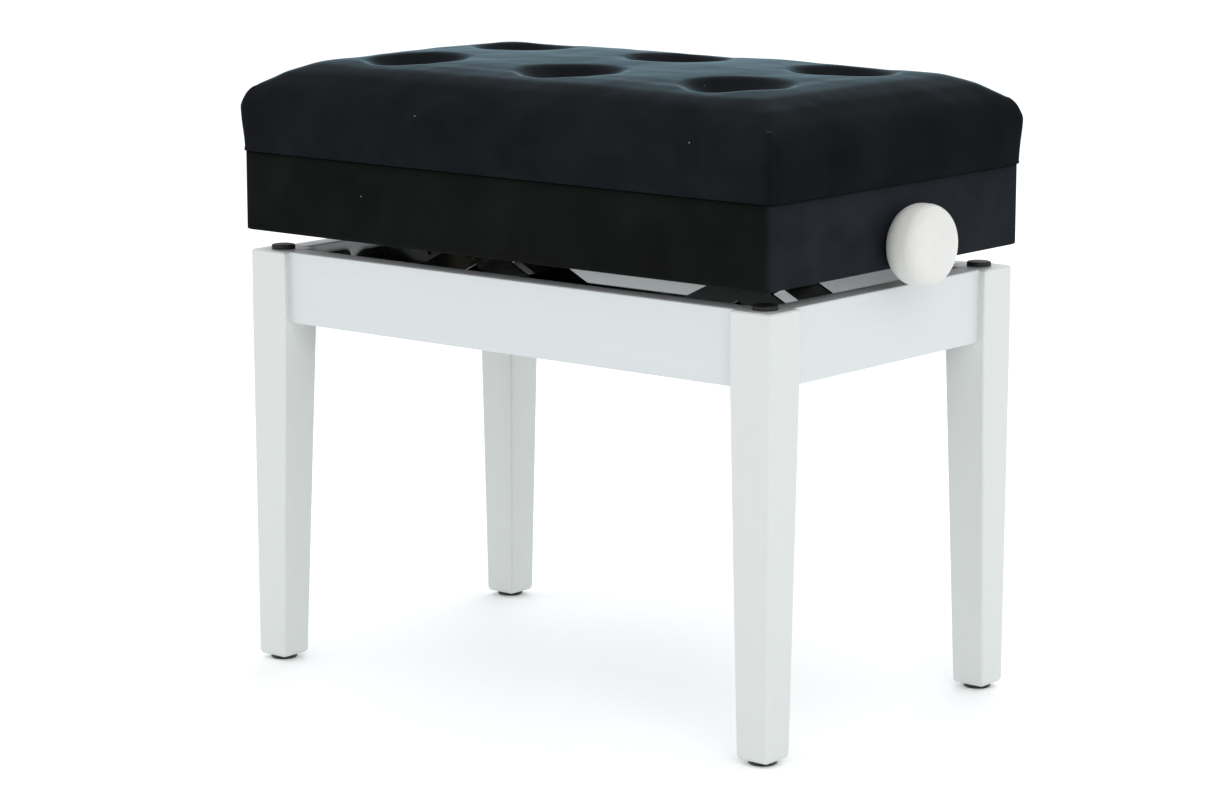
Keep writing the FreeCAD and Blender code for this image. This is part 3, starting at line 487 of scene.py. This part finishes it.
def lattice_shell(counts):
    """The outer vertices and faces of a box of cells: returns the bmesh and {vertex: (i, j, k)}."""
    bm = bmesh.new()
    places = {}

    def corner(key):
        if key not in places:
            places[key] = bm.verts.new(key)
        return places[key]

    for axis in range(3):
        first, second = [a for a in range(3) if a != axis]
        for side in (0, counts[axis]):
            for a in range(counts[first]):
                for b in range(counts[second]):
                    ring = []
                    for da, db in ((0, 0), (1, 0), (1, 1), (0, 1)):
                        key = [0, 0, 0]
                        key[axis], key[first], key[second] = side, a + da, b + db
                        ring.append(corner(tuple(key)))
                    bm.faces.new(ring)
    return bm, {vertex: key for key, vertex in places.items()}


def in_plan(a, b, half_x, half_y, radius):
    """A point of a rectangle, given from -1 to 1 each way, with the rectangle's corners made round."""
    x, y = a * half_x, b * half_y
    over_x, over_y = (abs(x) - (half_x - radius)) / radius, (abs(y) - (half_y - radius)) / radius
    if over_x > 0 and over_y > 0:
        # a square's outer corner drawn in to a quarter circle
        round_x, round_y = over_x * math.sqrt(1 - over_y**2 / 2), over_y * math.sqrt(1 - over_x**2 / 2)
        x = math.copysign(half_x - radius + round_x * radius, x)
        y = math.copysign(half_y - radius + round_y * radius, y)
    return x, y


def edge_distance(x, y, half_x, half_y, radius):
    """Distance in from the edge of a rectangle with round corners, softened on the mitres."""
    dx, dy = half_x - abs(x), half_y - abs(y)
    if dx < radius and dy < radius:
        return radius - math.hypot(radius - dx, radius - dy)
    near, far = min(dx, dy), max(dx, dy)
    overlap = max(0.0, MITRE_SOFTENING - (far - near))
    return near - overlap**2 / (4 * MITRE_SOFTENING) * min(1.0, near / MITRE_SOFTENING)


def cushion_place(u, v, w, half_x, half_y):
    """Where a cell corner goes: u and v run from -1 to 1, w from 0 at the base to 1 at the shoulder."""
    base, crown = CUSHION_LOW.z, CUSHION_HIGH.z - CROWN_SLACK
    if w < 1:
        flare = SIDE_FLARE * (smooth_step(w) - 1)
        x, y = in_plan(u, v, half_x + flare, half_y + flare, CUSHION_CORNER)
        return Vector((x, y, base + (SIDE_TOP - base) * w))
    x, y = in_plan(u, v, half_x, half_y, CUSHION_CORNER)
    inset = edge_distance(x, y, half_x, half_y, CUSHION_CORNER)
    height = SIDE_TOP + (crown - SIDE_TOP) * shoulder_height(inset)
    return Vector((x, y, height - dimple(x, y)))


def spread(share):
    """Cells from -1 to 1 that crowd a little towards both ends."""
    return 0.72 * share + 0.28 * math.sin(share * math.pi / 2)


def inflated(piece):
    """Where the cover's vertices go when a cloth simulation blows it up."""
    cloth = piece.modifiers.new("stuffing", "CLOTH")
    cloth.settings.quality = 5
    cloth.settings.vertex_group_mass = "held"
    cloth.settings.tension_stiffness = cloth.settings.compression_stiffness = VELVET_STIFFNESS
    cloth.settings.use_pressure = True
    cloth.settings.uniform_pressure_force = STUFFING_PRESSURE
    cloth.settings.effector_weights.gravity = 0
    cloth.collision_settings.use_collision = False
    cloth.point_cache.frame_start, cloth.point_cache.frame_end = 1, STUFFING_FRAMES
    for frame_number in range(1, STUFFING_FRAMES + 1):
        bpy.context.scene.frame_set(frame_number)
    shape = piece.evaluated_get(bpy.context.evaluated_depsgraph_get()).to_mesh()
    places = numpy.array([vertex.co[:] for vertex in shape.vertices])
    piece.modifiers.remove(cloth)
    bpy.context.scene.frame_set(1)
    return places


def stuff(piece, held):
    """Stuffs the cover, held at its base and tufts. Each vertex's move is capped and then evened out over
    the cloth, so the cushion swells without creasing."""
    group = piece.vertex_groups.new(name="held")
    group.add(held, 1.0, "REPLACE")
    data = piece.data
    start = numpy.array([vertex.co[:] for vertex in data.vertices])
    move = inflated(piece) - start
    length = numpy.linalg.norm(move, axis=1, keepdims=True)
    move *= numpy.minimum(1, SWELL_CAP / numpy.maximum(length, 1e-9))
    first, second = numpy.array([edge.vertices[:] for edge in data.edges]).T
    neighbours = numpy.bincount(numpy.concatenate((first, second)))[:, None]
    for _ in range(SWELL_SMOOTHING):
        around = numpy.zeros_like(move)
        numpy.add.at(around, first, move[second])
        numpy.add.at(around, second, move[first])
        move = (move + around / neighbours) / 2
        move[held] = 0
    for vertex, place in zip(data.vertices, start + move):
        vertex.co = place


def sew_corners(bm):
    """Four upright seams, one at each corner, cut as fine grooves into the side band."""
    half_x = max(vertex.co.x for vertex in bm.verts)
    half_y = max(vertex.co.y for vertex in bm.verts)
    foot = CUSHION_LOW.z + MM

    def off_seam(point):
        return (abs(point.x) - half_x) - (abs(point.y) - half_y)

    for reach in (14 * MM, 8 * MM):
        near = set()
        for edge in bm.edges:
            middle = (edge.verts[0].co + edge.verts[1].co) / 2
            beside = abs(off_seam(middle)) < reach and abs(middle.x) > half_x - SEAM_REGION
            if beside and foot < middle.z < SEAM_TOP + SEAM_FADE / 2:
                near.add(edge)
        bmesh.ops.subdivide_edges(bm, edges=list(near), cuts=1, use_grid_fill=True, smooth=0.4)
    bm.normal_update()
    for vertex in bm.verts:
        point = vertex.co
        if abs(point.x) < half_x - SEAM_REGION or point.z < foot:
            continue
        across = abs(off_seam(point)) / SEAM_WIDTH
        fade = smooth_step((SEAM_TOP - point.z) / SEAM_FADE)
        if across < SEAM_REACH:
            vertex.co = point - vertex.normal * (SEAM_DEPTH * fade * math.exp(-across * across))


def fold_base(bm):
    """Keeps the fold between the cover's sides and its base sharp."""
    crease = bm.edges.layers.float.new("crease_edge")
    for edge in bm.edges:
        if len(edge.link_faces) == 2 and edge.calc_face_angle() > FOLDED_EDGE:
            edge[crease] = 1.0
            edge.smooth = False


def make_uneven(bm):
    """The slight lumps that stuffing leaves, above the cover's base."""
    for vertex in bm.verts:
        if vertex.co.z > CUSHION_LOW.z + 2 * MM:
            lumps = [noise.noise(vertex.co * pitch) * height for pitch, height in UNEVENNESS]
            vertex.co += vertex.normal * sum(lumps)


def make_cushion(velvet):
    """The cushion's cover, closed all round: upright sides that swell a little, a soft shoulder and a
    crowned top that six tufts pull down."""
    bm, cells = lattice_shell(CELLS)
    half_x = (CUSHION_HIGH.x - CUSHION_LOW.x) / 2 - SLACK
    half_y = (CUSHION_HIGH.y - CUSHION_LOW.y) / 2 - SLACK
    held, above_base = [], []
    for vertex, (i, j, k) in cells.items():
        u, v = spread(2 * i / CELLS[0] - 1), spread(2 * j / CELLS[1] - 1)
        vertex.co = cushion_place(u, v, k / CELLS[2], half_x, half_y)
        if k == 0:
            held.append(vertex)
        elif k == CELLS[2] and tuft_distance(vertex.co.x, vertex.co.y) < DIMPLE_RADIUS:
            held.append(vertex)
        if k > 1:
            above_base.append(vertex)
    every_way = {"use_axis_x": True, "use_axis_y": True, "use_axis_z": True}
    bmesh.ops.smooth_vert(bm, verts=above_base, factor=0.5, **every_way)
    bm.verts.index_update()
    held = [vertex.index for vertex in held]
    cushion = mesh_object("cushion", bm)
    stuff(cushion, held)
    bm = bmesh.new()
    bm.from_mesh(cushion.data)
    fold_base(bm)
    sew_corners(bm)
    make_uneven(bm)
    bm.to_mesh(cushion.data)
    bm.free()
    fine = cushion.modifiers.new("fine", "SUBSURF")
    fine.levels = fine.render_levels = 1
    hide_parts("cushion_cover", "cushion_foam")
    return finished(cushion, "seat", velvet)


def make_buttons(velvet):
    """Six flat covered buttons, each sunk at the bottom of its hollow."""
    seat = CUSHION_HIGH.z - CROWN_SLACK - DIMPLE_DEPTH
    profile = [(BUTTON_RADIUS * 0.96, -BUTTON_SUNK)]
    for turn in (0, 0.3, 0.6, 0.9, 1.15, 1.35):
        profile.append((BUTTON_RADIUS * math.cos(turn), BUTTON_HEIGHT * math.sin(turn)))
    bm = bmesh.new()
    for tuft_x, tuft_y in TUFTS:
        rows = []
        for ring, rise in profile:
            row = []
            for i in range(BUTTON_SEGMENTS):
                turn = 2 * math.pi * i / BUTTON_SEGMENTS
                x, y = tuft_x + ring * math.cos(turn), tuft_y + ring * math.sin(turn)
                row.append(bm.verts.new((x, y, seat + rise)))
            rows.append(row)
        for lower, upper in zip(rows, rows[1:]):
            quads_between(bm, lower, upper)
        bm.faces.new(rows[0])
        bm.faces.new(rows[-1])
    buttons = mesh_object("covered_buttons", bm)
    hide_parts("tuft_buttons")
    return finished(buttons, "seat", velvet)


# Seat box --------------------------------------------------------------------------------------

SKIRT_EDGE = 4.6 * MM
SKIRT_TURN_UNDER = 16 * MM
SKIRT_SPACING = 6 * MM
COVER_THICKNESS = 1.5 * MM
COVER_LIP = (0.4 * MM, 1.5 * MM)
PILE_DEPTH = 1.2 * MM


def make_skirt(velvet):
    """Velvet drawn tight round the box's boards and turned under their lower edges."""
    low, high = SKIRT_LOW, SKIRT_HIGH
    half_x, half_y = (high.x - low.x) / 2 + PILE_DEPTH, (high.y - low.y) / 2 + PILE_DEPTH
    outline = rounded_rectangle(half_x, half_y, SKIRT_EDGE, SKIRT_SPACING)
    height = high.z - low.z
    lip_in, lip_down = COVER_LIP
    face = height - lip_down
    # Distance in from the outer face and height above the lower edge, from the top to the turn-under's end.
    profile = [(COVER_THICKNESS, height), (lip_in, height)]
    profile += [(0, face - (face - SKIRT_EDGE) * i / 12) for i in range(12)]
    profile += [(SKIRT_EDGE - x, SKIRT_EDGE + z) for x, z in arc((0, 0), SKIRT_EDGE, 0, -90, 8)]
    profile += [(SKIRT_TURN_UNDER, 0), (SKIRT_TURN_UNDER, COVER_THICKNESS)]
    profile += [(COVER_THICKNESS, COVER_THICKNESS)]
    bm = bmesh.new()
    rows = []
    for inset, rise in profile:
        row = []
        for point, _ in outline:
            x = max(-half_x + inset, min(half_x - inset, point.x))
            y = max(-half_y + inset, min(half_y - inset, point.y))
            row.append(bm.verts.new((x, y, low.z + rise)))
        rows.append(row)
    for first, second in zip(rows, rows[1:] + rows[:1]):
        quads_between(bm, first, second)
    skirt = mesh_object("skirt", bm)
    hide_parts("skirt_cover")
    return finished(skirt, "seat", velvet)


# Knob ------------------------------------------------------------------------------------------

KNOB_BACK_ROUND = 19 * MM
KNOB_FRONT_ROUND = 15 * MM
KNOB_DOME = 3.4 * MM
KNOB_RINGS = 14

def make_knob(material):
    """The turned knob: a well-rounded back, a wide soft front edge and a gently domed face."""
    radius = (KNOB_HIGH.z - KNOB_LOW.z) / 2
    length = KNOB_HIGH.x - KNOB_LOW.x
    back, front = KNOB_BACK_ROUND, KNOB_FRONT_ROUND
    profile = arc((back, radius - back), back, 170, 90, KNOB_RINGS)
    profile += arc((length - KNOB_DOME - front, radius - front), front, 86, 12, KNOB_RINGS)
    rim_x, face = profile[-1]
    rise = length - rim_x
    profile += [(length - rise * (1 - i / 12) ** 2, face * (1 - i / 12)) for i in range(1, 12)]
    knob = lathe("turned_knob", profile, Vector((KNOB_LOW.x, 0, SCREW_HEIGHT)), 96)
    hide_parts("knob")
    return finished(knob, "drive", material)


# Finishes on the frame's own pieces ------------------------------------------------------------


def coat(names, material):
    """Gives these CAD pieces a material."""
    for name in names:
        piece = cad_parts[name]
        piece.data.materials.clear()
        piece.data.materials.append(material)


def finish_frame():
    """A finish for every CAD piece that is shown."""
    leg_white = sprayed_lacquer("leg_lacquer", "z", "#D4D8D5", "#CBCFCC")
    long_white = sprayed_lacquer("long_rail_lacquer", "x", "#D3D7D8", "#CACFD0")
    end_white = sprayed_lacquer("end_rail_lacquer", "y", "#D3D7D8", "#CACFD0")
    enamel = stoved_black_enamel()
    yellow_zinc = plated("pale_yellow_zinc", "#E8DFB8", "#C9BD8B")
    bright_zinc = plated("bright_zinc", "#D4D6D8", "#A9ACAF")
    blackened = plated("blackened_steel", "#3A3A3C", "#232325")
    rubber = moulded_black("moulded_rubber", 0.6, 0.8)
    nylon = moulded_black("moulded_nylon", 0.42, 1.2)
    coat([f"leg_{c}" for c in CORNERS], leg_white)
    coat(["rail_front", "rail_rear"], long_white)
    coat(["rail_left", "rail_right"], end_white)
    coat([f"corner_bracket_{c}" for c in CORNERS], enamel)
    for side in ("left", "right"):
        pressed = ("end_plate", "outer_arm", "inner_arm", "screw_bearing")
        coat([f"{kind}_{side}" for kind in pressed], enamel)
        coat([f"{kind}_{side}" for kind in ("crossing_rod", "slide_rod", "screw_nut")], blackened)
        coat([f"slide_shoes_{side}"], nylon)
    for depth in ("front", "rear"):
        coat([f"{kind}_{depth}" for kind in ("base_rail", "upper_rail")], enamel)
    coat(["leg_nuts_and_washers", "leg_bolts"], yellow_zinc)
    coat(["frame_screws", "lower_pivots", "upper_pivots", "screw_collars"], blackened)
    coat(["lead_screw", "seat_screws", "glide_nails"], bright_zinc)
    coat([f"bumper_{c}" for c in CORNERS], rubber)
    coat([f"glide_{c}" for c in CORNERS], nylon)
    coat(SKIRT_BOARDS + ["seat_panel", "cushion_board"], plywood_in_painted_shade())


# The whole bench -------------------------------------------------------------------------------

add_camera()
add_studio()
add_floor()
# Two copies of the one velvet. The box's copy is darker on its front, painted shade under the cushion's
# overhang, and lighter at its ends; the cushion's ends are a little darker than its front, partly the pile's
# lie and partly painted shade.
cushion_velvet = cut_pile_velvet("cushion_velvet", "#151619", "#101113")
shaded_box_velvet = cut_pile_velvet("shaded_box_velvet", "#111311", "#1E2126")
finish_frame()
make_cushion(cushion_velvet)
make_skirt(shaded_box_velvet)
make_knob(turned_satin_white())
make_buttons(cushion_velvet)
